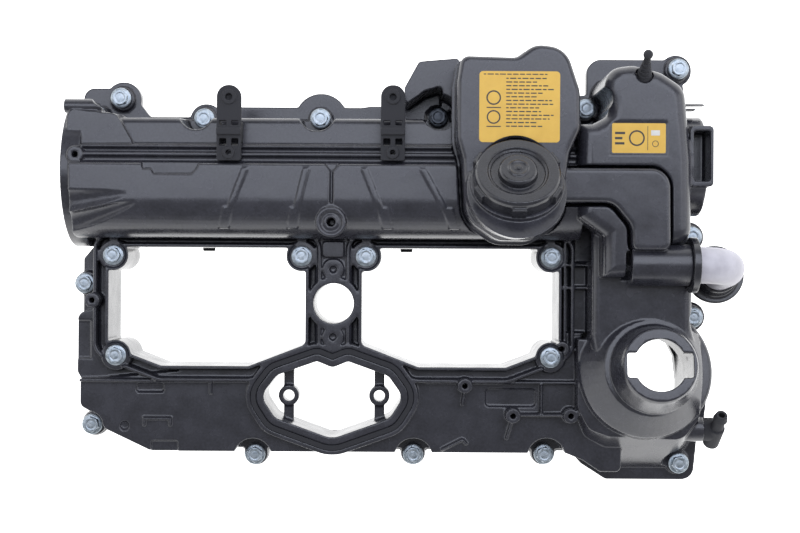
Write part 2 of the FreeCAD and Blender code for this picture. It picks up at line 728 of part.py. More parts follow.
def hood_cuts():
    """The scoops, the step and the slot in the hood's top."""
    step = [(-130, 99), (-130, 92, 1.5), (-124, 92, 1.5), (-122, 88.5, 1.5), (-96, 88.5, 1.5),
            (-92, 93, 1.5), (-89, 99)]
    return [
        fused("hood_pockets", [
            slab("hood_step", step, "hood_height - 5", "hood_height + 6"),
            slab("hood_slot", rectangle(-1.5, 69, 0.7, 92), "hood_height - 3", "hood_height + 6"),
            slab("hood_notch", [(-6, 97), (6, 97), (0, 90)], "hood_height - 4", "hood_height + 6"),
            post("hood_end_hole", -176.3, 102, 2.2, "shelf_height", "hood_height + 6"),
        ]),
    ] + scoops("hood_scoop", 0.0)


def deck_cuts():
    """Shallow pockets, the socket's mouth and the beds under the stickers and the separator."""
    deck_top = "deck_height + 1"
    items = [
        slab("deck_slot", rectangle(-140.5, -64.2, -120.6, -57.8, 2.5), "deck_height - 2", deck_top),
        slab("deck_recess", rectangle(-129.8, -112, -110.6, -98.6), "deck_height - 2.5", deck_top),
        post("deck_hole", -148.7, -88.0, 3.2, "deck_height - 2.2", deck_top),
        slab("block_recess", rectangle(-190, -41, -173.5, -13), "frame_height - channel_depth - 1.5",
             "frame_height"),
        slab("deck_pocket", rectangle(108, -73, 144, -60, 3), "deck_height - 2", deck_top),
        slab("socket_mouth", rectangle(247.2, 86, 258.2, 120.2, 1.5), "56", "90"),
        slab("sticker_bed", rectangle(188.2, 102.8, 227.6, 125.8, 1.5), "housing_height - 0.8",
             "housing_height + 2"),
    ]
    items += posts("bridge_dimple", BRIDGE_BOSSES, 2.6, "frame_height - 3", "frame_height + 3")
    items.append(post("hood_boss_hole", *HOOD_BOSS, 3.0, "deck_height + 22", "deck_height + 40"))
    items += posts("screw_hole", SCREW_BOSSES, 2.0, "deck_height - 4", "deck_height + 20")
    return fused("deck_cuts", items)


def separator_beds():
    """Room above the base for the separator's shell and duct, and the hollows in their base."""
    top = "separator_height + 40"
    stud = rod("stud_seat", tuple(STUD_BASE), tuple(STUD_BASE + STUD_AXIS * 30), 6.0)
    return [
        slab("separator_bed", inset(SEPARATOR, -2.8), "base_height", top),
        slab("duct_bed", inset(DUCT, -2.3), "base_height", top),
        slab("separator_hollow", inset(SEPARATOR, 5.0), "base_height - 5", top),
        stud,
        post("bore_seal_seat", 0, 0, S.bore_radius + 2.0, "frame_height - 9", "frame_height - 6"),
        rod("port_cradle", (200, PORT_AXIS_Y, S.port_axis_height),
            (246, PORT_AXIS_Y, S.port_axis_height), S.port_radius + 0.3),
        rod("collar_clearance", (S.port_end - 0.1, PORT_AXIS_Y, S.port_axis_height),
            (275, PORT_AXIS_Y, S.port_axis_height), S.port_radius + 5.4),
        fused("window_head_room", posts("window_head_room", WINDOW_BOLTS, 9.4, "frame_height - 2",
                                        "frame_height + 8")),
    ]


def gasket_ring(name, line, width, bottom, top):
    """A band of the given width that follows a closed line."""
    return minus(
        name,
        slab(name + "_outer", inset(line, -width / 2), bottom, top),
        [slab(name + "_inner", inset(line, width / 2), f"({bottom}) - 1", f"({top}) + 1")],
    )


def motor_mounts():
    """The two bars across the motor opening with their bolt rings."""
    mounts = []
    for i, x in enumerate(BAR_X):
        bar = slab(f"motor_bar_{i}", rectangle(x - 3.6, -98, x + 3.6, -40), "20", "28")
        boss = post(f"motor_bar_boss_{i}", x, BAR_Y, 7.4, "16", "30")
        limit = slab(f"motor_bar_limit_{i}", inset(MOTOR_OPENING, -2.0), "10", "40")
        trimmed = shared(f"motor_mount_{i}", fused(f"motor_mount_block_{i}", [bar, boss]), limit)
        hole = post(f"motor_mount_hole_{i}", x, BAR_Y, 4.0, "0", "40")
        mounts.append(minus(f"motor_mount_bored_{i}", trimmed, [hole]))
    return mounts


def build_shell():
    """The moulding: forms joined one by one, hollowed, given its walls and details, then opened."""
    plates, volumes = shell_forms()
    first = fused("plates", plates)
    volumes += dome_forms() + connector_forms() + [neck_form()]
    hollows = shell_cavities()
    land = gasket_ring("land", GASKET_LINE, LAND_WIDTH * 2, "0", "flange_thickness")
    columns = fused("bolt_columns", posts("bolt_column", ALL_PERIMETER, 8.6, "0", "boss_height"))
    added = [land, columns] + kept_walls() + frames() + [bosses(), hood_bands(), ribs()]
    access = fused("access", posts("access", ALL_PERIMETER, ACCESS_RADIUS, "boss_height",
                                   "separator_height + 20"))
    holes = posts("bolt_hole", ALL_PERIMETER, S.sleeve_radius, "-5", "boss_height + 5")
    holes += posts("window_hole", WINDOW_BOLTS, S.sleeve_radius, "-5", "frame_height + 5")
    cuts = [openings(), grooves(), access, fused("bolt_holes", holes), deck_cuts()]
    cuts += hood_cuts() + neck_cuts() + separator_beds()
    backing = fused("scoop_backing", scoops("scoop_wall", S.wall))
    mounts = motor_mounts()
    doc.recompute()
    shape = first.Shape
    for item in volumes:
        shape = shape.fuse(item.Shape)
    for item in hollows:
        shape = shape.cut(item.Shape)
    shape = shape.fuse(backing.Shape.common(volumes[0].Shape))
    for item in added:
        shape = shape.fuse(item.Shape)
    for item in cuts:
        shape = shape.cut(item.Shape)
    for item in mounts:
        shape = shape.fuse(item.Shape)
    shell = doc.addObject("Part::Feature", "cover_shell_body")
    shell.Shape = shape.removeSplitter()
    node("cover_shell", shell)


def tilted_cut(name, radius, bottom_depth):
    """Everything within a radius of the valve's axis and above a depth below the lid's top."""
    return turned(name, [(0.0, -bottom_depth), (radius, -bottom_depth), (radius, 60.0), (0.0, 60.0)],
                  lid_place(0))


def lid_lugs(name, gap, top):
    """The six snap lugs round the lid up to a height on its axis, or their clearances."""
    lugs = []
    for i in range(6):
        lug = doc.addObject("Part::Box", f"{name}_{i}")
        lug.Length, lug.Width, lug.Height = 3.4 + gap, 9.5 + 2 * gap, top + 10.4 + gap
        turn = FreeCAD.Placement(Vector(), Rotation(Vector(0, 0, 1), 60 * i - 90))
        lug.Placement = lid_place(0).multiply(turn).multiply(
            FreeCAD.Placement(Vector(S.lid_radius - 1.3, -4.75 - gap, -10.4 - gap), Rotation()))
        lugs.append(lug)
    return lugs


def build_separator():
    """The welded upper shell of the oil separator with its duct, port tube and valve cup."""
    box = rounded_edges("separator_round", slab("separator_block", SEPARATOR, "base_height",
                        "separator_height"), 4.0, at_height(S.separator_height))
    duct = rounded_edges("duct_round", slab("duct_block", DUCT, "base_height", "duct_height"), 3.0,
                         at_height(S.duct_height))
    lips = fused("weld_lips", [
        slab("separator_lip", inset(SEPARATOR, -2.4), "base_height", "base_height + 3"),
        slab("duct_lip", inset(DUCT, -2.0), "base_height", "base_height + 3"),
    ])
    axis_z = S.port_axis_height
    tube = rod("port_tube", (204, PORT_AXIS_Y, axis_z), (S.port_end, PORT_AXIS_Y, axis_z), S.port_radius)
    half_lid = S.lid_radius + 4.5
    centre = (LID_CENTRE[0], LID_CENTRE[1] - 11.0)
    skirt = minus("valve_skirt", post("valve_skirt_block", *centre, half_lid, "base_height", "lid_top + 20"),
                  [tilted_cut("valve_skirt_plane", 90.0, S.lid_depth + 3.0)])
    skirt_hollow = minus("skirt_hollow", post("skirt_hollow_block", *centre, half_lid - 2.5,
                         "base_height - 1", "lid_top + 20"),
                         [tilted_cut("skirt_hollow_plane", 90.0, S.lid_depth + 6.0)])
    cup_radius = S.lid_radius + 2.2
    cup_depth = 24.0
    cup = turned("valve_cup", [
        (5.0, -cup_depth - 2.5), (cup_radius, -cup_depth - 2.5), (cup_radius, -S.lid_depth),
        (25.8, -S.lid_depth), (25.8, -9.4), (23.6, -9.4), (23.6, -cup_depth),
        (11.4, -cup_depth), (11.4, -16.0), (9.2, -16.0), (9.2, -cup_depth), (5.0, -cup_depth),
    ], lid_place(0))
    hollows = [
        slab("separator_room", inset(SEPARATOR, 2.5), "base_height - 1", "separator_height - 2.5"),
        slab("duct_room", inset(DUCT, 2.5), "base_height - 1", "duct_height - 2.5"),
        skirt_hollow,
    ]
    clear = fused("cup_clearances", [tilted_cut("cup_clearance", S.lid_radius + 0.6, S.lid_depth)]
                  + lid_lugs("lug_clearance", 0.4, 60.0))
    seat = tilted_cut("seat_zone", cup_radius - 0.1, cup_depth + 2.4)
    bore = fused("port_bores", [
        rod("port_bore", (207, PORT_AXIS_Y, axis_z), (S.port_end + 5, PORT_AXIS_Y, axis_z),
            S.pipe_radius + 0.3),
        slab("duct_mouth", rectangle(210, PORT_AXIS_Y, 223, 45), "port_axis_height - 6",
             "port_axis_height + 6"),
    ])
    doc.recompute()
    shape = box.Shape
    for item in [duct, lips, tube, skirt]:
        shape = shape.fuse(item.Shape)
    for item in hollows:
        shape = shape.cut(item.Shape)
    shape = shape.cut(clear.Shape).cut(seat.Shape.cut(cup.Shape)).fuse(cup.Shape)
    shape = shape.cut(bore.Shape)
    cover = doc.addObject("Part::Feature", "separator_cover_body")
    cover.Shape = shape.removeSplitter()
    node("separator_cover", cover)


def build_valve():
    """The pressure control valve: lid, diaphragm, plate and spring on one tilted axis."""
    radius, depth = S.lid_radius, S.lid_depth
    cap = turned("lid_cap", [
        (0.0, 4.6), (1.6, 4.6), (2.2, 3.4), (5.0, 3.4), (5.6, 4.0), (6.4, 4.0), (7.0, 3.2),
        (11.2, 3.2), (12.6, 1.8), (12.9, -2.2), (17.6, -2.2), (18.2, -1.0), (19.2, -1.0),
        (20.2, 0.6), (radius - 1.8, 0.6), (radius - 0.4, -0.9), (radius, -3.0),
        (radius, -depth), (26.1, -depth), (26.1, -8.2), (23.4, -8.2), (23.4, -5.2),
        (10.4, -5.2), (10.4, -0.4), (0.0, -0.4),
    ], lid_place(0))
    node("pcv_lid", fused("pcv_lid_body", [cap] + lid_lugs("lid_lug", 0.0, -2.9)))
    node("pcv_diaphragm", turned("diaphragm_body", [
        (9.0, -9.4), (15.5, -9.4), (16.5, -7.6), (20.2, -7.6), (21.2, -9.4), (25.8, -9.4),
        (25.8, -8.2), (21.9, -8.2), (20.9, -6.4), (15.8, -6.4), (14.8, -8.2), (9.0, -8.2),
    ], lid_place(0)))
    node("pcv_valve_plate", turned("valve_plate_body", [
        (0.0, -20.0), (2.4, -20.0), (2.4, -11.6), (14.0, -11.6), (14.0, -9.5), (8.9, -9.5),
        (8.9, -8.1), (11.0, -8.1), (11.0, -7.0), (0.0, -7.0),
    ], lid_place(0)))
    coil = doc.addObject("Part::Helix", "spring_path")
    coil.Pitch, coil.Height, coil.Radius = 2.4, 11.0, 6.6
    wire = drawn("spring_wire", [Disc(6.6, 0.0, 0.55)], "front")
    spring = doc.addObject("Part::Sweep", "spring_body")
    spring.Sections = [wire]
    spring.Spine = (coil, ["Edge1"])
    spring.Solid = True
    spring.Frenet = True
    spring.Placement = lid_place(23.4)
    node("pcv_spring", spring)


def build_port():
    """The breather pipe with its collar, O-ring and black disc flange."""
    axis = Vector(0, PORT_AXIS_Y, S.port_axis_height)
    lean = Rotation(Vector(1, 0, 0), -7.0)
    seat_x = S.port_end
    collar = turned("collar_body", [
        (S.pipe_radius + 0.15, 0.0), (S.port_radius + 4.6, 0.0), (S.port_radius + 4.6, 4.8),
        (S.pipe_radius + 0.15, 4.8),
    ], FreeCAD.Placement(axis + Vector(seat_x, 0, 0), Rotation(Vector(0, 0, 1), Vector(1, 0, 0))))
    node("breather_collar", collar)
    outer, inner = S.pipe_radius, S.pipe_radius - S.pipe_wall
    bend, start, turn_x = S.pipe_bend, seat_x - 12.0, seat_x + 8.0
    foot_z = -bend - S.pipe_leg
    legs = []
    for name, radius in (("pipe_outer", outer), ("pipe_inner", inner)):
        extra = 0.0 if name == "pipe_outer" else 2.0
        straight = rod(name + "_straight", (start - extra, 0, 0), (turn_x, 0, 0), radius)
        elbow = doc.addObject("Part::Torus", name + "_elbow")
        elbow.Radius1, elbow.Radius2, elbow.Angle3 = bend, radius, 90
        elbow.Placement = FreeCAD.Placement(Vector(turn_x, 0, -bend), Rotation(Vector(1, 0, 0), 90))
        down = rod(name + "_down", (turn_x + bend, 0, -bend), (turn_x + bend, 0, foot_z - extra), radius)
        legs.append(fused(name, [straight, elbow, down]))
    pipe = minus("pipe_body", legs[0], [legs[1]])
    ring_x = seat_x - 6.0
    along_x = Rotation(Vector(0, 0, 1), Vector(1, 0, 0))
    groove = turned("ring_groove", rectangle(outer - 1.4, -1.1, outer + 2, 1.1),
                    FreeCAD.Placement(Vector(ring_x, 0, 0), along_x))
    grooved = minus("pipe_grooved", pipe, [groove])
    grooved.Placement = FreeCAD.Placement(axis, lean)
    node("breather_pipe", grooved)
    seal = doc.addObject("Part::Torus", "port_seal_body")
    seal.Radius1, seal.Radius2 = outer - 0.5, 0.8
    seal.Placement = FreeCAD.Placement(axis + Vector(ring_x, 0, 0), along_x)
    node("port_seal", seal)
    foot = FreeCAD.Placement(axis, lean).multVec(Vector(turn_x + bend, 0, foot_z))
    flange = turned("flange_body", [
        (outer + 0.1, 0.0), (S.disc_radius, 0.0), (S.disc_radius, S.disc_thickness, 0.8),
        (outer + 3.4, S.disc_thickness, 2.6), (outer + 1.8, 15.0, 1.0), (outer + 0.1, 15.0),
    ], FreeCAD.Placement(foot, lean))
    node("breather_flange", flange)


def hexagon(width):
    """A regular hexagon by its width across flats."""
    radius = width / math.sqrt(3)
    return [(radius * math.cos(math.radians(60 * i)), radius * math.sin(math.radians(60 * i)))
            for i in range(6)]


def bolt(name, seat):
    """One flange-head bolt with its seat at height zero, its shank ending just above the bench."""
    length = seat + S.gasket_proud - 0.1
    stem = turned(f"{name}_stem", [
        (0.0, -length), (S.shank_radius - 0.6, -length), (S.shank_radius, -length + 0.8),
        (S.shank_radius, 0.0), (S.head_flange_radius, 0.0),
        (S.head_flange_radius, 0.7), (S.head_hex_width / 2 + 0.6, S.head_flange_thickness),
        (0.0, S.head_flange_thickness),
    ])
    head = padded(f"{name}_hex", hexagon(S.head_hex_width), "head_height")
    dish = turned(f"{name}_dish", [(0.0, S.head_height - 1.0), (2.6, S.head_height - 0.6),
                                   (3.4, S.head_height + 1.0), (0.0, S.head_height + 1.0)])
    return minus(name, fused(f"{name}_solid", [stem, head]), [dish])


def placed_copies(label, shape, places):
    """Identical pieces in one node, each a separate solid."""
    group = doc.addObject("Part::Feature", label + "_group")
    copies = []
    for place in places:
        one = shape.copy()
        one.Placement = place.multiply(one.Placement)
        copies.append(one)
    group.Shape = Part.makeCompound(copies)
    node(label, group)


def build_fasteners():
    """Perimeter, window and pocket bolts with their compression sleeves."""
    seat = S.boss_height + S.bolt_lift
    window_seat = S.frame_height - 1.8
    short = bolt("perimeter_bolt", seat)
    tall = bolt("window_bolt", window_seat)
    sleeve = turned("perimeter_sleeve", [(S.sleeve_bore, 0.0), (S.sleeve_radius, 0.0),
                                         (S.sleeve_radius, S.boss_height), (S.sleeve_bore, S.boss_height)])
    top = S.frame_height - 2
    long_sleeve = turned("window_sleeve", [(S.sleeve_bore, 0.0), (S.sleeve_radius, 0.0),
                                           (S.sleeve_radius, top), (S.sleeve_bore, top)])
    doc.recompute()

    def places(spots, height):
        return [FreeCAD.Placement(Vector(x, y, height), Rotation(Vector(0, 0, 1), (37 * i) % 60))
                for i, (x, y) in enumerate(spots)]

    placed_copies("perimeter_bolts", short.Shape, places(PERIMETER_BOLTS, seat))
    placed_copies("recess_bolt", short.Shape, places([RECESS_BOLT], seat))
    placed_copies("window_bolts", tall.Shape, places(WINDOW_BOLTS, window_seat))
    placed_copies("perimeter_sleeves", sleeve.Shape, places(ALL_PERIMETER, 0))
    placed_copies("window_sleeves", long_sleeve.Shape, places(WINDOW_BOLTS, 0))


def build_seals():
    """Rubber seals in their grooves; the head-side ones stand proud by the gasket's squeeze."""
    proud = "-gasket_proud"
    node("perimeter_gasket", gasket_ring("gasket_perimeter", GASKET_LINE, S.gasket_width - 0.2, proud,
                                         "gasket_depth - 0.05"))
    for side, line in SEALS.items():
        ring = gasket_ring(f"gasket_{side}", line, 3.4, proud, "3.45")
        middle = -94.5 if side == "left" else 51.5
        tab = slab(f"gasket_tab_{side}", rectangle(middle - 4.5, 37, middle + 4.5, 44.5, 0.8), proud, "-0.05")
        node(f"window_gasket_{side}", fused(f"gasket_with_tab_{side}", [ring, tab]))
    node("motor_gasket", gasket_ring("gasket_motor", inset(MOTOR_OPENING, -7.3), 3.4,
                                     "frame_height - 3.95", "frame_height + 0.6"))
    seal = turned("bore_seal_body", [
        (S.bore_radius + 0.1, S.frame_height - 8.95), (S.bore_radius + 1.95, S.frame_height - 8.95),
        (S.bore_radius + 1.95, S.frame_height - 6.05), (S.bore_radius + 0.1, S.frame_height - 6.05),
    ])
    node("bore_seal", seal)


def harness_bracket(name, label, x, y):
    """A snap-on cable bracket: a flat eye, a slotted bridge and two legs down to the shelf."""
    outline = [(-8.3, 0, 1.5), (-8.3, 51.5, 8.0), (8.3, 51.5, 8.0), (8.3, 0, 1.5)]
    rail_top = "hood_height - 5.4"
    plate = slab(f"{name}_plate", shifted(outline, x, y), rail_top, "hood_height - 1")
    bar = slab(f"{name}_bar", shifted(rectangle(-8.3, 17.5, 8.3, 22, 0.8), x, y), "hood_height - 2",
               "hood_height + 1.5")
    eye = post(f"{name}_eye", x, y + 43.3, 5.0, "shelf_height + 4", "hood_height")
    foot = post(f"{name}_foot", x, y + 5.3, 4.2, "hood_height - 2", "hood_height + 0.8")
    legs = [slab(f"{name}_leg_{i}", shifted(rectangle(a, 13, a + 2.5, 27), x, y), "shelf_height + 0.2",
                 rail_top) for i, a in enumerate((-8.3, 5.8))]
    holes = [post(f"{name}_eye_hole", x, y + 43.3, 2.4, "hood_height - 3.5", "hood_height + 5"),
             post(f"{name}_foot_hole", x, y + 5.3, 1.9, "shelf_height", "hood_height + 5")]
    slots = [(-4.1, 25.6, 3.2), (4.1, 25.6, 3.2), (-4.1, 12.6, 5.0), (4.1, 12.6, 5.0)]
    for i, (dx, dy, deep) in enumerate(slots):
        hole = rectangle(dx - 2.4, dy - deep / 2, dx + 2.4, dy + deep / 2, 0.6)
        holes.append(slab(f"{name}_slot_{i}", shifted(hole, x, y), "shelf_height", "hood_height + 5"))
    body = fused(f"{name}_solid", [plate, bar, eye, foot] + legs)
    node(label, minus(f"{name}_body", body, holes))


def build_stud():
    """The ball stud that carries the engine's top cover: ribbed cone, neck and ball."""
    profile = [(0.0, 0.0), (5.6, 0.0), (5.6, 2.2)]
    for i in range(4):
        z = 3.0 + 3.4 * i
        radius = 5.0 - 0.55 * i
        profile += [(radius, z), (radius - 0.3, z + 2.2), (radius - 1.3, z + 2.6)]
    profile += [(2.6, 17.5), (2.1, 21.5), (0.0, 21.5)]
    stem = turned("stud_stem", profile)
    ball = doc.addObject("Part::Sphere", "stud_ball")
    bind(ball, Radius="3.3")
    ball.Placement.Base = Vector(0, 0, 24)
    stud = fused("stud_body", [stem, ball])
    stud.Placement = FreeCAD.Placement(STUD_BASE, Rotation(Vector(0, 0, 1), STUD_AXIS))
    node("ball_stud", stud)


def build_fitting():
    """The vacuum fitting: a stub from the filler tower and a leaning hose nipple."""
    stub = rod("fitting_stub", (262.5, -88, 38), (270, -88, 38), 8.2)
    body = rod("fitting_body", (270.5, -98.5, 30), (271.5, -86, 44.5), 5.8)
    nipple = cone("fitting_nipple", (271.5, -86, 44.5), (272.3, -76, 56), 4.6, 3.8)
    barb = cone("fitting_barb", (272.0, -79.6, 52), (272.3, -76, 56), 5.2, 4.0)
    bore = rod("fitting_bore", (271.5, -86, 44.5), (272.6, -72, 60.6), 2.2)
    node("vacuum_fitting", minus("fitting_piece", fused("fitting_solid", [stub, body, nipple, barb]), [bore]))


def build_baffle():
    """The tray that closes the separator's drain space from below."""
    tray = slab("baffle_tray", rectangle(96, 56, 160, 116, 6), "base_height - 16", "base_height - 9")
    room = slab("baffle_room", rectangle(98, 58, 158, 114, 4), "base_height - 14", "base_height - 8")
    slots = [slab(f"baffle_slot_{i}", rectangle(104 + 9 * i, 66, 107 + 9 * i, 106, 1.4), "base_height - 20",
                  "base_height - 10") for i in range(6)]
    node("separator_baffle", minus("baffle_body", tray, [room] + slots))


def build_stickers():
    """The two plain stickers, on the separator's top and in the bed on the housing."""
    large = slab("sticker_large_block", rectangle(98.9, 109.5, 152.6, 156.8, 2.5), "separator_height",
                 "separator_height + sticker_thickness")
    node("label_large", minus("sticker_large_body", large, [tilted_cut("sticker_trim", 31.2, 30.0)]))
    node("label_small", slab("sticker_small_body", rectangle(189.8, 104.2, 226.2, 124.4, 1),
                             "housing_height - 0.8", "housing_height - 0.8 + sticker_thickness"))


def check(items):
    """Stops the build where any object or piece is broken."""
    for item in doc.Objects:
        if "Invalid" in item.State or "Error" in item.State:
            raise RuntimeError(f"{item.Name} did not build: {item.State}")
    for label, item in items.items():
        if item.Shape.isNull() or not item.Shape.isValid():
            raise RuntimeError(f"{label} is not a valid shape")


def main():
    """Builds every piece, checks them and writes one file for each."""
    build_shell()
    build_separator()
    build_valve()
    build_port()
    build_fasteners()
    build_seals()
    harness_bracket("bracket_left", "harness_bracket_left", -70.6, 98.1)
    harness_bracket("bracket_right", "harness_bracket_right", 41.4, 98.6)
    build_stud()
    build_fitting()
    build_baffle()
    build_stickers()
    doc.recompute()
    check(NODES)
    os.makedirs("parts", exist_ok=True)
    for label, item in NODES.items():
        item.Shape.exportStep(f"parts/{label}.step")
        box = item.Shape.BoundBox
        print(f"{label:24s} solids {len(item.Shape.Solids):2d}  volume {item.Shape.Volume / 1000:9.2f}"
              f"  z {box.ZMin:7.2f} to {box.ZMax:7.2f}")


main()
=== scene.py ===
"""The dressed look of a moulded engine valve cover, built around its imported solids."""

import logging
import math
from dataclasses import dataclass
from enum import Enum

import bmesh
import bpy
from mathutils import Matrix, Vector


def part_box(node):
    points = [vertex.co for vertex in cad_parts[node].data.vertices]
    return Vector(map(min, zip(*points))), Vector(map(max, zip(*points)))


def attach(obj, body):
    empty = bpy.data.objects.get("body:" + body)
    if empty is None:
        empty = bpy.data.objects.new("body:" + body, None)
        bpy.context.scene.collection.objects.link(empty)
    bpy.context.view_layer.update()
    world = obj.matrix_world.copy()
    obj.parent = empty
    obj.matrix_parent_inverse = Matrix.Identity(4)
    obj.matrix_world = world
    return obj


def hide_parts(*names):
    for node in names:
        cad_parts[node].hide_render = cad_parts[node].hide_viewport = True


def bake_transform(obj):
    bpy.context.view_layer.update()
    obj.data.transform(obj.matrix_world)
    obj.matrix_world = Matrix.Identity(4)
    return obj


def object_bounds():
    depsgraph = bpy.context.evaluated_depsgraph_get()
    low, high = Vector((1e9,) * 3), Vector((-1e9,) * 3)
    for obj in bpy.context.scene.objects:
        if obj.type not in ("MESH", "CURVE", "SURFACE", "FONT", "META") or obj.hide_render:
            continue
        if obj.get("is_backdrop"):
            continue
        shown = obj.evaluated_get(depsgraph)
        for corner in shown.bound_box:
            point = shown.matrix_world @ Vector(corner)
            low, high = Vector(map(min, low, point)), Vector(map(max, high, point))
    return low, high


LOG = logging.getLogger("valve_cover")
MM = 0.001
UP = (0, 0, 1)
# The middle band of the noise's values, stretched over two tones and over two glosses.
TONE_BAND = (0.32, 0.68)
GLOSS_BAND = (0.3, 0.7)
BUMP_STRENGTH = 0.6
# Shades each corner mostly by its largest face, so flats look flat between turned edges.
FACE_SIZED_NORMALS = ("WEIGHTED_NORMAL", {"weight": 60, "keep_sharp": False})


def linear(colour: str) -> tuple[float, float, float, float]:
    """Turns an sRGB hex colour into linear light.

    Args:
        colour: The colour as "#rrggbb".

    Returns:
        Linear red, green, blue and an alpha of 1.
    """
    parts = [int(colour[i : i + 2], 16) / 255 for i in (1, 3, 5)]
    light = [p / 12.92 if p <= 0.04045 else ((p + 0.055) / 1.055) ** 2.4 for p in parts]
    return (light[0], light[1], light[2], 1.0)


def add_node(tree: bpy.types.NodeTree, kind: str, inputs: dict | None = None, **settings) -> bpy.types.Node:
    """Adds one shader node with its settings, values and links.

    Args:
        tree: The tree that gets the node.
        kind: The node's type name.
        inputs: Values or output sockets, by the name or number of the input.
        settings: Attributes of the node itself.

    Returns:
        The new node.
    """
    made = tree.nodes.new(kind)
    for name, value in settings.items():
        setattr(made, name, value)
    for key, value in (inputs or {}).items():
        if isinstance(value, bpy.types.NodeSocket):
            tree.links.new(value, made.inputs[key])
        else:
            made.inputs[key].default_value = value
    return made


def new_material(name: str) -> tuple[bpy.types.Material, bpy.types.NodeTree]:
    """Makes a material with an empty node tree and returns both."""
    material = bpy.data.materials.new(name)
    material.use_nodes = True
    material.node_tree.nodes.clear()
    return material, material.node_tree


@dataclass(frozen=True)
class Surface:
    """What a piece is made of and how its skin was formed.

    Two tones are mottled by noise of a real size, the same noise makes the gloss uneven, and each skin
    layer is a bump given by its feature size and depth in millimetres.
    """

    name: str
    dark: str
    pale: str
    mottle_mm: float
    gloss: tuple[float, float]
    skin: tuple[tuple[float, float], ...]
    metallic: float = 0.0
    ior: float = 1.5
    fleck_mm: float = 0.0

    def make(self) -> bpy.types.Material:
        """Builds the material's nodes and returns it."""
        material, tree = new_material(self.name)
        place = add_node(tree, "ShaderNodeTexCoord").outputs["Object"]
        cloud = {"Vector": place, "Scale": 1.0 / (self.mottle_mm * MM), "Detail": 5.0}
        mottle = add_node(tree, "ShaderNodeTexNoise", cloud).outputs["Fac"]
        shade = mottle
        if self.fleck_mm:
            speck = {"Vector": place, "Scale": 1.0 / (self.fleck_mm * MM), "Detail": 3.0}
            fleck = add_node(tree, "ShaderNodeTexNoise", speck)
            total = add_node(tree, "ShaderNodeMath", {0: mottle, 1: fleck.outputs["Fac"]}, operation="ADD")
            shade = add_node(tree, "ShaderNodeMath", {0: total.outputs[0], 1: 0.5},
                             operation="MULTIPLY").outputs[0]
        share = add_node(tree, "ShaderNodeMapRange",
                         {"Value": shade, "From Min": TONE_BAND[0], "From Max": TONE_BAND[1]})
        tone = add_node(tree, "ShaderNodeMix",
                        {0: share.outputs["Result"], 6: linear(self.dark), 7: linear(self.pale)},
                        data_type="RGBA")
        gloss = add_node(tree, "ShaderNodeMapRange",
                         {"Value": mottle, "From Min": GLOSS_BAND[0], "From Max": GLOSS_BAND[1],
                          "To Min": self.gloss[0], "To Max": self.gloss[1]})
        inputs = {"Base Color": tone.outputs[2], "Roughness": gloss.outputs["Result"],
                  "Metallic": self.metallic, "IOR": self.ior}
        for size, depth in self.skin:
            grain = {"Vector": place, "Scale": 1.0 / (size * MM), "Detail": 2.0}
            height = add_node(tree, "ShaderNodeTexNoise", grain).outputs["Fac"]
            layer = {"Height": height, "Distance": depth * MM, "Strength": BUMP_STRENGTH}
            if "Normal" in inputs:
                layer["Normal"] = inputs["Normal"]
            inputs["Normal"] = add_node(tree, "ShaderNodeBump", layer).outputs["Normal"]
        skin = add_node(tree, "ShaderNodeBsdfPrincipled", inputs)
        add_node(tree, "ShaderNodeOutputMaterial", {"Surface": skin.outputs["BSDF"]})
        return material


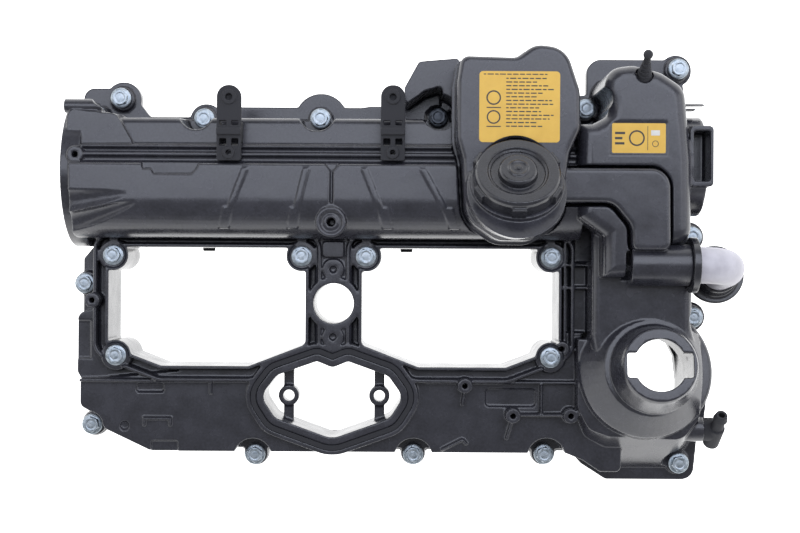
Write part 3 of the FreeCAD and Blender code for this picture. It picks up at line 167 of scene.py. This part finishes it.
class Finish(Enum):
    """The finishes of the cover's pieces, each with the record's slot that it belongs to."""

    # Glass-filled nylon from a spark-eroded tool: black and satin, cloudy where the fibres show,
    # with a fine grain and slow sink waves. The grain is drawn twice as coarse as it is, to show.
    COVER = ("moulded_nylon", Surface("glass_filled_nylon", "#26262b", "#38383f", 14.0, (0.22, 0.3),
                                      ((1.1, 0.035), (24.0, 0.45)), ior=1.6, fleck_mm=1.8))
    # Smoother nylon of the clipped-on pieces: darker and a little glossier.
    LID = ("lid_nylon", Surface("smooth_black_nylon", "#202024", "#2e2e33", 9.0, (0.18, 0.27),
                                ((0.9, 0.02), (15.0, 0.2)), ior=1.6, fleck_mm=1.5))
    # Tough unfilled nylon of clips: dull black.
    CLIP = ("clip_nylon", Surface("clip_nylon", "#1f1f22", "#2d2d31", 6.0, (0.32, 0.44),
                                  ((0.9, 0.03), (9.0, 0.15)), ior=1.53))
    # Compression-moulded seal rubber: dull black with a paler bloom.
    SEAL = ("seal_rubber", Surface("seal_rubber", "#131314", "#222224", 7.0, (0.6, 0.8), ((0.9, 0.04),)))
    # Milky polypropylene tube: pale grey and satin.
    TUBE = ("pale_plastic", Surface("pale_polypropylene", "#b4b1b8", "#cbc8ce", 12.0, (0.36, 0.46),
                                    ((1.0, 0.02), (18.0, 0.25))))
    # Clear passivated zinc on cold-forged steel: bluish, half bright, mottled where the bath pooled.
    ZINC = ("zinc_steel", Surface("zinc_plated_steel", "#98a3ab", "#c2cad0", 2.5, (0.36, 0.5),
                                  ((0.7, 0.02),), metallic=1.0))
    # Blackened steel: dark with a faint grey shine.
    BLACK_STEEL = ("black_steel", Surface("blackened_steel", "#3a3d42", "#55595f", 2.5, (0.34, 0.46),
                                          ((0.7, 0.02),), metallic=1.0))
    # Drawn spring wire: bright with fine die lines.
    SPRING = ("spring_steel", Surface("spring_wire", "#8d8f91", "#b5b7b8", 1.5, (0.22, 0.34),
                                      ((0.5, 0.01),), metallic=1.0))
    # Polyester label film under a clear coat: an even yellow, rippled a little by its adhesive.
    STICKER = ("yellow_sticker", Surface("yellow_label_film", "#dcae3e", "#e4b849", 9.0, (0.3, 0.4),
                                         ((9.0, 0.08),)))
    # Screen-printed inks on the film.
    INK = ("yellow_sticker", Surface("black_label_ink", "#2b2823", "#37332c", 3.0, (0.35, 0.45),
                                     ((1.0, 0.01),)))
    WHITE_INK = ("yellow_sticker", Surface("white_label_ink", "#d4d3cd", "#dedcd6", 3.0, (0.35, 0.45),
                                           ((1.0, 0.01),)))

    @property
    def slot(self) -> str:
        """The record's material slot."""
        return self.value[0]

    def material(self) -> bpy.types.Material:
        """The finish's material, made on first use."""
        return bpy.data.materials.get(self.value[1].name) or self.value[1].make()


def placed(name: str, data: bpy.types.ID) -> bpy.types.Object:
    """Makes an object of a mesh, a lamp or a camera and links it to the scene."""
    made = bpy.data.objects.new(name, data)
    bpy.context.collection.objects.link(made)
    return made


def baked(bm: bmesh.types.BMesh, name: str) -> bpy.types.Mesh:
    """Turns a bmesh into a mesh as it is, and frees it."""
    mesh = bpy.data.meshes.new(name)
    bm.to_mesh(mesh)
    bm.free()
    return mesh


def mesh_of(bm: bmesh.types.BMesh, name: str) -> bpy.types.Mesh:
    """Turns a bmesh into a smooth mesh with its corners joined and its faces pointing outwards."""
    bmesh.ops.remove_doubles(bm, verts=bm.verts, dist=0.001 * MM)
    bmesh.ops.recalc_face_normals(bm, faces=bm.faces)
    for face in bm.faces:
        face.smooth = True
    return baked(bm, name)


def turn_outline(bm: bmesh.types.BMesh, outline: list[tuple[float, float, float]], facets: int,
                 closed: bool = True, centre: tuple[float, float, float] = (0.0, 0.0, 0.0)) -> None:
    """Spins an outline a full turn about an upright axis.

    Args:
        bm: The mesh that gets the faces.
        outline: The outline's points.
        facets: The number of steps in the turn.
        closed: Whether the last point joins the first.
        centre: A point of the axis.
    """
    verts = [bm.verts.new(point) for point in outline]
    pairs = list(zip(verts, verts[1:]))
    if closed:
        pairs.append((verts[-1], verts[0]))
    edges = [bm.edges.new(pair) for pair in pairs]
    bmesh.ops.spin(bm, geom=verts + edges, axis=UP, cent=centre, angle=math.tau, steps=facets,
                   use_merge=True)


def dress_node(node: str, finish: Finish) -> None:
    """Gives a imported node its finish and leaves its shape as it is."""
    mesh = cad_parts[node].data
    mesh.materials.clear()
    mesh.materials.append(finish.material())
    LOG.info("%s keeps its shape as %s", node, finish.slot)


def finished(name: str, mesh: bpy.types.Mesh, finish: Finish, body: str, *nodes: str) -> bpy.types.Object:
    """Puts a mesh in the scene as a piece of the cover.

    Args:
        name: The piece's name.
        mesh: Its mesh, already in place.
        finish: Its finish.
        body: The body it rides on.
        nodes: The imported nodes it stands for.

    Returns:
        The new object.
    """
    mesh.materials.clear()
    mesh.materials.append(finish.material())
    piece = placed(name, mesh)
    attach(piece, body)
    if nodes:
        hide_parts(*nodes)
    LOG.info("%s: %d faces on %s", name, len(mesh.polygons), body)
    return piece


def modified(mesh: bpy.types.Mesh, *steps: tuple[str, dict]) -> bpy.types.Mesh:
    """Runs modifiers on a mesh and returns the result as a new mesh.

    Args:
        mesh: The mesh to work on.
        steps: Each modifier's type and its settings.

    Returns:
        The changed mesh.
    """
    work = placed("work", mesh)
    for i, (kind, settings) in enumerate(steps):
        step = work.modifiers.new(f"step_{i}", kind)
        for name, value in settings.items():
            setattr(step, name, value)
    graph = bpy.context.evaluated_depsgraph_get()
    graph.update()
    result = bpy.data.meshes.new_from_object(work.evaluated_get(graph))
    bpy.data.objects.remove(work)
    return result


def welded(node: str) -> bmesh.types.BMesh:
    """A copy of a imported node's triangles with their corners joined."""
    bm = bmesh.new()
    bm.from_mesh(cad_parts[node].data)
    bmesh.ops.remove_doubles(bm, verts=bm.verts, dist=0.002 * MM)
    return bm


def islands(node: str) -> list[tuple[Vector, Vector]]:
    """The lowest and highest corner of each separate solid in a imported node, from left to right."""
    bm = welded(node)
    boxes = []
    todo = set(bm.verts)
    while todo:
        seed = todo.pop()
        group = {seed}
        reached = [seed]
        while reached:
            for edge in reached.pop().link_edges:
                for vert in edge.verts:
                    if vert not in group:
                        group.add(vert)
                        reached.append(vert)
        todo -= group
        low = Vector([min(v.co[i] for v in group) for i in range(3)])
        high = Vector([max(v.co[i] for v in group) for i in range(3)])
        boxes.append((low, high))
    bm.free()
    return sorted(boxes, key=lambda box: (round(box[0].x, 5), box[0].y))


@dataclass(frozen=True)
class TurnedDetail:
    """A moulded detail turned about its own axis, such as a ring on a boss, that melts into its moulding.

    The profile is a closed outline of radius and height above the foot, in millimetres.
    """

    foot_mm: tuple[float, float, float]
    profile_mm: tuple[tuple[float, float], ...]
    axis: tuple[float, float, float] = (0.0, 0.0, 1.0)
    facets: int = 96

    def mesh(self) -> bpy.types.Mesh:
        """Spins the outline round the axis and stands it on its foot."""
        bm = bmesh.new()
        outline = [(radius * MM, 0.0, height * MM) for radius, height in self.profile_mm]
        turn_outline(bm, outline, self.facets)
        turn = Vector(self.axis).to_track_quat("Z", "Y").to_matrix().to_4x4()
        place = Matrix.Translation(Vector(self.foot_mm) * MM) @ turn
        bmesh.ops.transform(bm, matrix=place, verts=bm.verts)
        return mesh_of(bm, "turned_detail")


@dataclass(frozen=True)
class Moulding:
    """A moulded piece whose edges are softened, as a moulding tool leaves them.

    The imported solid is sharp-edged. Its copy is rebuilt on a fine grid, relaxed a little, thinned where it
    is flat, and shaded by the size of its faces, so flats stay flat and edges turn over a small radius.
    """

    node: str
    finish: Finish
    grid_mm: float = 0.4
    relax: int = 2
    triangles: int = 40000
    details: tuple[TurnedDetail, ...] = ()

    def build(self) -> bpy.types.Object:
        """Builds the softened piece in place of its node."""
        bm = welded(self.node)
        for detail in self.details:
            bm.from_mesh(detail.mesh())
        grid = self.grid_mm * MM * 1.0
        soft = modified(
            baked(bm, self.node + "_solid"),
            ("REMESH", {"mode": "VOXEL", "voxel_size": grid, "adaptivity": 0.0, "use_smooth_shade": True}),
            ("SMOOTH", {"factor": 0.5, "iterations": self.relax}),
        )
        count = sum(len(p.vertices) - 2 for p in soft.polygons)
        steps = [FACE_SIZED_NORMALS]
        if count > self.triangles:
            steps.insert(0, ("DECIMATE", {"decimate_type": "COLLAPSE", "ratio": self.triangles / count}))
        mesh = modified(soft, *steps)
        mesh.name = self.node + "_moulded"
        return finished(self.node + "_moulded", mesh, self.finish, "root", self.node)


@dataclass(frozen=True)
class FlangeBolts:
    """Hexagon flange bolts: a chamfered head with a stamped dish, a dished flange and a rolled shank."""

    node: str
    finish: Finish
    across_mm: float = 10.0
    head_mm: float = 5.0
    flange_mm: float = 1.6
    flange_radius_mm: float = 7.35
    shank_radius_mm: float = 3.0
    facets: int = 48
    pitch_mm: float = 1.0
    thread_depth_mm: float = 0.45
    thread_length_mm: float = 12.0
    chamfer_degrees: float = 32.0
    # The corners are turned off down to this share of the half width, and the dish follows from there
    # inwards, each step a share of the half width and a share of the head's height.
    crown: float = 0.985
    dish: tuple[tuple[float, float], ...] = (
        (0.74, 1.0), (0.66, 0.95), (0.58, 0.93), (0.5, 0.96), (0.16, 0.96),
    )
    # Each bolt is left at another angle, as a wrench leaves it.
    wrench_degrees: int = 37

    def shank(self, bm: bmesh.types.BMesh, length: float) -> None:
        """Spins the flange, the shank and its thread round the bolt's axis, the seat at height zero.

        Args:
            bm: The mesh that gets the faces.
            length: The shank's length under the seat.
        """
        r = self.shank_radius_mm
        thread_top = -max(0.0, length - self.thread_length_mm)
        profile = [(0.0, -length), (r - 2 * self.thread_depth_mm, -length)]
        height = -length + self.pitch_mm / 2
        while height < thread_top - self.pitch_mm:
            profile += [(r - self.thread_depth_mm, height), (r - 0.02, height + self.pitch_mm / 2)]
            height += self.pitch_mm
        rim = self.flange_radius_mm
        flange_top = self.flange_mm - 0.1
        profile += [
            (r - 0.3, thread_top), (r - 0.3, -0.4), (r, 0.0), (rim - 0.25, 0.0), (rim, 0.25), (rim, 0.65),
            (rim - 0.25, 0.9), (self.across_mm / 2 + 0.9, flange_top), (0.0, flange_top),
        ]
        turn_outline(bm, [(x * MM, 0.0, z * MM) for x, z in profile], self.facets, closed=False)

    def head(self, bm: bmesh.types.BMesh) -> None:
        """Raises the hexagon, turns its corners off and sinks the stamped dish."""
        flat = self.across_mm * MM / 2
        made = bmesh.ops.create_circle(bm, cap_ends=True, segments=self.facets, radius=flat)
        for vert in made["verts"]:
            angle = math.atan2(vert.co.y, vert.co.x) % (math.pi / 3) - math.pi / 6
            vert.co.xy *= 1.0 / math.cos(angle)
            vert.co.z = (self.flange_mm - 0.3) * MM
        top = made["verts"][0].link_faces[0]
        slope = math.tan(math.radians(self.chamfer_degrees))
        for i, (reach, level) in enumerate(((1.0, 1.0), (self.crown, 1.0), *self.dish)):
            region = bmesh.ops.extrude_face_region(bm, geom=[top])
            verts = [v for v in region["geom"] if isinstance(v, bmesh.types.BMVert)]
            bmesh.ops.delete(bm, geom=[top], context="FACES_ONLY")
            top = next(f for f in region["geom"] if isinstance(f, bmesh.types.BMFace))
            for vert in verts:
                radius = vert.co.xy.length
                if i == 0:
                    vert.co.z = self.head_mm * MM - (radius - flat * self.crown) * slope
                else:
                    vert.co.xy *= min(1.0, flat * reach / radius)
                    vert.co.z = self.head_mm * MM * level

    def build(self) -> bpy.types.Object:
        """Builds every bolt of the node in one mesh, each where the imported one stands."""
        whole = bmesh.new()
        for i, (low, high) in enumerate(islands(self.node)):
            one = bmesh.new()
            seat = high.z / MM - self.head_mm
            self.shank(one, seat - low.z / MM)
            self.head(one)
            middle = (low + high) / 2
            turn = Matrix.Rotation(math.radians(self.wrench_degrees * i % 60), 4, "Z")
            place = Matrix.Translation((middle.x, middle.y, seat * MM)) @ turn
            bmesh.ops.transform(one, matrix=place, verts=one.verts)
            part = baked(one, "one_bolt")
            whole.from_mesh(part)
            bpy.data.meshes.remove(part)
        mesh = mesh_of(whole, self.node + "_forged")
        mesh = modified(mesh, FACE_SIZED_NORMALS)
        return finished(self.node + "_forged", mesh, self.finish, "root", self.node)


@dataclass(frozen=True)
class ValveSpring:
    """The control valve's spring, which sits between its seat and the plate."""

    node: str = "pcv_spring"
    tilt_degrees: float = 36.0

    def build(self) -> bpy.types.Object:
        """Puts a copy of the coil between the cover and the valve's plate."""
        mesh = mesh_of(welded(self.node), self.node + "_coil")
        mesh.materials.append(Finish.SPRING.material())
        coil = placed(self.node + "_coil", mesh)
        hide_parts(self.node)
        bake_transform(coil)
        return coil


@dataclass(frozen=True)
class Sticker:
    """A label of film with plain printed shapes, which say nothing.

    Bars and patches are left, low, width and height, and rings are a middle and a radius, all in
    millimetres from the label's middle.
    """

    node: str
    bars: tuple[tuple[float, float, float, float], ...]
    rings: tuple[tuple[float, float, float], ...] = ()
    patches: tuple[tuple[float, float, float, float], ...] = ()
    lift_mm: float = 0.03
    ring_hole: float = 0.8
    ring_facets: int = 40

    def face(self) -> Matrix:
        """The label's own frame: its middle on the top face, X to the right, Y up the label.

        Returns:
            A matrix from the label's millimetres to the world.
        """
        bm = welded(self.node)
        top = max((f for f in bm.faces if f.normal.z > 0.3), key=lambda f: f.calc_area())
        up = top.normal.copy()
        reach = max(v.co.dot(up) for v in bm.verts)
        low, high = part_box(self.node)
        middle = (Vector(low) + Vector(high)) / 2
        middle += up * (reach - middle.dot(up))
        bm.free()
        right = Vector((0, 1, 0)).cross(up).normalized()
        ahead = up.cross(right)
        turn = Matrix((right, ahead, up)).transposed().to_4x4()
        return Matrix.Translation(middle) @ turn @ Matrix.Scale(MM, 4)

    def slip(self, bm: bmesh.types.BMesh, left: float, low: float, width: float, height: float) -> None:
        """Adds one printed bar as a thin slip of ink."""
        place = Matrix.Translation((left + width / 2, low + height / 2, self.lift_mm / 2))
        size = Matrix.Diagonal((width, height, self.lift_mm, 1.0))
        bmesh.ops.create_cube(bm, size=1.0, matrix=place @ size)

    def ring(self, bm: bmesh.types.BMesh, x: float, y: float, radius: float) -> None:
        """Adds one printed ring."""
        inner = radius * self.ring_hole
        section = ((inner, 0.0), (radius, 0.0), (radius, self.lift_mm), (inner, self.lift_mm))
        turn_outline(bm, [(x + r, y, z) for r, z in section], self.ring_facets, centre=(x, y, 0))

    def build(self) -> None:
        """Dresses the label's film and lays its print on it."""
        dress_node(self.node, Finish.STICKER)
        place = self.face()
        for ink, name, slips, rings in (
            (Finish.INK, "print", self.bars, self.rings),
            (Finish.WHITE_INK, "patches", self.patches, ()),
        ):
            if not slips:
                continue
            bm = bmesh.new()
            for slip in slips:
                self.slip(bm, *slip)
            for ring in rings:
                self.ring(bm, *ring)
            bmesh.ops.transform(bm, matrix=place, verts=bm.verts)
            bmesh.ops.recalc_face_normals(bm, faces=bm.faces)
            name = f"{self.node}_{name}"
            finished(name, baked(bm, name), ink, "root")


def text_like_bars(rows: int, left: float, top: float, width: float, pitch: float) -> tuple:
    """Rows of short and long bars that stand in for lines of print.

    The sines only vary the length from row to row and from word to word.

    Args:
        rows: The number of rows.
        left: The rows' left end.
        top: The height of the first row.
        width: The longest row's length.
        pitch: The distance from row to row.

    Returns:
        The bars as left, low, width and height.
    """
    shortest_row = 0.62
    gap = 0.9
    bars = []
    for row in range(rows):
        at = left
        end = left + width * (shortest_row + (1 - shortest_row) * math.sin(row * 2.3 + 0.8) ** 2)
        step = 0
        while at < end - 1.0:
            word = 1.6 + 2.6 * abs(math.sin(row * 5.1 + step * 1.7))
            bars.append((at, top - row * pitch, min(word, end - at), pitch * 0.32))
            at += word + gap
            step += 1
    return tuple(bars)


@dataclass(frozen=True)
class SoftBox:
    """A soft box: its place, the point it faces and its width and height in metres, its power in watts."""

    name: str
    place: tuple[float, float, float]
    aim: tuple[float, float, float]
    size: tuple[float, float]
    power: float
    colour: str

    def build(self) -> None:
        """Hangs the box."""
        lamp = bpy.data.lights.new(self.name, "AREA")
        lamp.shape = "RECTANGLE"
        lamp.size, lamp.size_y = self.size
        lamp.energy = self.power
        lamp.color = linear(self.colour)[:3]
        box = placed(self.name, lamp)
        box.location = self.place
        way = Vector(self.aim) - Vector(self.place)
        box.rotation_euler = way.to_track_quat("-Z", "Y").to_euler()


@dataclass(frozen=True)
class Studio:
    """A pale glowing sweep, four soft boxes, a sky that pales downwards and the camera above the cover."""

    camera_mm: tuple[float, float, float] = (46.8, 26.4, 1000.0)
    roll_degrees: float = 0.35
    lens_mm: float = 60.8
    sensor_mm: float = 36.0
    # The sweep glows white to the camera and in reflections, over a paper that lights the sides softly.
    floor_size: float = 4.0
    floor_gap_mm: float = 0.2
    paper: str = "#f4f4f4"
    backdrop: str = "#ffffff"
    floor_glow: float = 2.5
    glow_share: float = 0.8
    # Between these two heights of the view the sky's strength falls from the horizon's to the zenith's.
    sky: str = "#eef0f4"
    sky_band: tuple[float, float] = (0.05, 0.6)
    horizon_strength: float = 2.0
    zenith_strength: float = 0.34
    # Two cool boxes face down over the far side, and one stands at each end.
    boxes: tuple[SoftBox, ...] = (
        SoftBox("box_hood", (-0.4, 0.455, 1.4), (-0.4, 0.455, 0.4), (1.0, 0.75), 6.0, "#e9efff"),
        SoftBox("box_housing", (0.55, 0.84, 1.4), (0.55, 0.84, 0.4), (0.9, 1.3), 10.0, "#e9efff"),
        SoftBox("box_right", (1.25, 0.3, 1.0), (0.05, 0.03, 0.04), (0.6, 1.2), 3.6, "#f2f4ff"),
        SoftBox("box_left", (-1.25, 0.2, 0.9), (0.05, 0.03, 0.04), (0.5, 1.0), 1.6, "#ffffff"),
    )

    def camera(self) -> None:
        """Stands the camera over the cover, as the photograph does."""
        eye = placed("camera", bpy.data.cameras.new("camera"))
        eye.data.lens = self.lens_mm
        eye.data.sensor_width = self.sensor_mm
        eye.data.clip_start = 0.01
        eye.location = [c * MM for c in self.camera_mm]
        eye.rotation_euler = (0.0, 0.0, math.radians(self.roll_degrees))
        bpy.context.scene.camera = eye

    def floor(self) -> None:
        """Lays the pale sweep just under the cover's lowest point."""
        bm = bmesh.new()
        bmesh.ops.create_grid(bm, x_segments=1, y_segments=1, size=self.floor_size)
        low = min(corner[2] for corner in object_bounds())
        bmesh.ops.translate(bm, vec=(0, 0, low - self.floor_gap_mm * MM), verts=bm.verts)
        mesh = baked(bm, "floor")
        material, tree = new_material("paper_sweep")
        rays = add_node(tree, "ShaderNodeLightPath")
        seen = add_node(tree, "ShaderNodeMath",
                        {0: rays.outputs["Is Camera Ray"], 1: rays.outputs["Is Glossy Ray"]},
                        operation="MAXIMUM")
        paper = add_node(tree, "ShaderNodeBsdfDiffuse", {"Color": linear(self.paper)})
        glow = add_node(tree, "ShaderNodeEmission",
                        {"Color": linear(self.backdrop), "Strength": self.floor_glow})
        share = add_node(tree, "ShaderNodeMath", {0: seen.outputs[0], 1: self.glow_share},
                         operation="MULTIPLY")
        both = add_node(tree, "ShaderNodeMixShader",
                        {0: share.outputs[0], 1: paper.outputs[0], 2: glow.outputs[0]})
        add_node(tree, "ShaderNodeOutputMaterial", {"Surface": both.outputs[0]})
        mesh.materials.append(material)
        plane = placed("floor", mesh)
        plane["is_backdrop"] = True

    def light_sky(self) -> None:
        """Sets the world to a sky that is bright at the horizon and dim overhead."""
        world = bpy.data.worlds.new("studio")
        bpy.context.scene.world = world
        world.use_nodes = True
        world.node_tree.nodes.clear()
        way = add_node(world.node_tree, "ShaderNodeTexCoord").outputs["Generated"]
        height = add_node(world.node_tree, "ShaderNodeSeparateXYZ", {0: way}).outputs["Z"]
        strength = add_node(world.node_tree, "ShaderNodeMapRange",
                            {"Value": height, "From Min": self.sky_band[0], "From Max": self.sky_band[1],
                             "To Min": self.horizon_strength, "To Max": self.zenith_strength},
                            interpolation_type="SMOOTHSTEP").outputs["Result"]
        sky = add_node(world.node_tree, "ShaderNodeBackground",
                       {"Color": linear(self.sky), "Strength": strength})
        add_node(world.node_tree, "ShaderNodeOutputWorld", {"Surface": sky.outputs[0]})

    def build(self) -> None:
        """Sets the whole stage and the plain view transform."""
        self.camera()
        self.floor()
        for box in self.boxes:
            box.build()
        self.light_sky()
        bpy.context.scene.view_settings.view_transform = "Standard"


# The ringed boss that stands out of the hood's slope above the bridge.
HOOD_BOSS_RING = TurnedDetail(
    (-0.5, 56.4, 60.0),
    (
        (3.0, 0.0), (10.3, 0.0), (10.3, 20.6), (7.8, 20.6),
        (7.4, 18.8), (5.2, 18.8), (4.8, 19.8), (3.0, 19.8),
    ),
)
# The rounded foot with which the leaning shoulder of the filler tower meets its skirt.
TOWER_SHOULDER = TurnedDetail(
    (220.0, -45.5, 52.0),
    ((39.0, 2.0), (45.2, 1.6), (47.1, -0.4), (47.8, -9.0), (39.0, -9.0)),
    axis=(1.0, 3.0, 18.0),
)


@dataclass(frozen=True)
class ValveCover:
    """The whole cover: softened mouldings, forged bolts, dressed seals and labels."""

    mouldings: tuple[Moulding, ...] = (
        Moulding("cover_shell", Finish.COVER, grid_mm=0.75, relax=3, triangles=195000,
                 details=(HOOD_BOSS_RING, TOWER_SHOULDER)),
        Moulding("separator_cover", Finish.COVER, grid_mm=0.55, relax=3, triangles=110000),
        Moulding("separator_baffle", Finish.COVER, grid_mm=0.6, triangles=16000),
        Moulding("pcv_lid", Finish.LID, grid_mm=0.4, relax=1, triangles=60000),
        Moulding("breather_collar", Finish.LID, grid_mm=0.4, triangles=16000),
        Moulding("breather_pipe", Finish.TUBE, grid_mm=0.45, triangles=30000),
        Moulding("breather_flange", Finish.LID, grid_mm=0.4, triangles=20000),
        Moulding("harness_bracket_left", Finish.CLIP, grid_mm=0.35, triangles=24000),
        Moulding("harness_bracket_right", Finish.CLIP, grid_mm=0.35, triangles=24000),
        Moulding("ball_stud", Finish.CLIP, grid_mm=0.28, relax=1, triangles=20000),
        Moulding("vacuum_fitting", Finish.CLIP, grid_mm=0.35, triangles=20000),
    )
    bolts: tuple[FlangeBolts, ...] = (
        FlangeBolts("perimeter_bolts", Finish.ZINC),
        FlangeBolts("window_bolts", Finish.ZINC),
        FlangeBolts("recess_bolt", Finish.BLACK_STEEL),
    )
    spring: ValveSpring = ValveSpring()
    stickers: tuple[Sticker, ...] = (
        Sticker(
            "label_large",
            bars=(
                *text_like_bars(14, -9.0, 18.5, 33.0, 2.45),
                *text_like_bars(1, -24.0, 21.3, 52.0, 2.2),
                (-22.0, -0.9, 9.5, 0.7),
                (-22.0, -13.5, 9.5, 0.7),
            ),
            rings=((-17.3, 6.0, 4.9), (-17.3, -6.9, 4.6)),
        ),
        Sticker(
            "label_small",
            bars=(
                (-16.2, -4.4, 6.4, 1.6),
                (-16.2, -0.9, 5.0, 1.6),
                (-16.2, 2.6, 6.8, 1.6),
                (5.8, -8.2, 0.4, 16.4),
            ),
            rings=((-1.4, 0.0, 5.4), (11.2, -3.8, 2.2)),
            patches=((8.2, 1.8, 6.0, 3.6),),
        ),
    )

    def dress_kept(self) -> None:
        """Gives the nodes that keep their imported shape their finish."""
        kept = {
            Finish.SEAL: ("pcv_diaphragm", "port_seal", "perimeter_gasket", "window_gasket_left",
                          "window_gasket_right", "motor_gasket", "bore_seal"),
            Finish.LID: ("pcv_valve_plate",),
            Finish.ZINC: ("perimeter_sleeves", "window_sleeves"),
        }
        for finish, nodes in kept.items():
            for node in nodes:
                dress_node(node, finish)

    def build(self) -> None:
        """Builds every piece."""
        for piece in self.mouldings + self.bolts + self.stickers + (self.spring,):
            piece.build()
        self.dress_kept()


def main() -> None:
    """Builds the stage and the cover."""
    logging.basicConfig(level=logging.INFO, format="%(message)s")
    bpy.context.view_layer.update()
    Studio().build()
    ValveCover().build()


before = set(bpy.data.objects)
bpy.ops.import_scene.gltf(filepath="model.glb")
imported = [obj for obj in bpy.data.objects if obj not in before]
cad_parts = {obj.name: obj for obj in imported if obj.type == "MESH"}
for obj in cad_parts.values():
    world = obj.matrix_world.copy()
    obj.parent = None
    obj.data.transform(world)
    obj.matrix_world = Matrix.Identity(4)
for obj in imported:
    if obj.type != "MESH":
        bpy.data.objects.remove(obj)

if __name__ == "__main__":
    main()
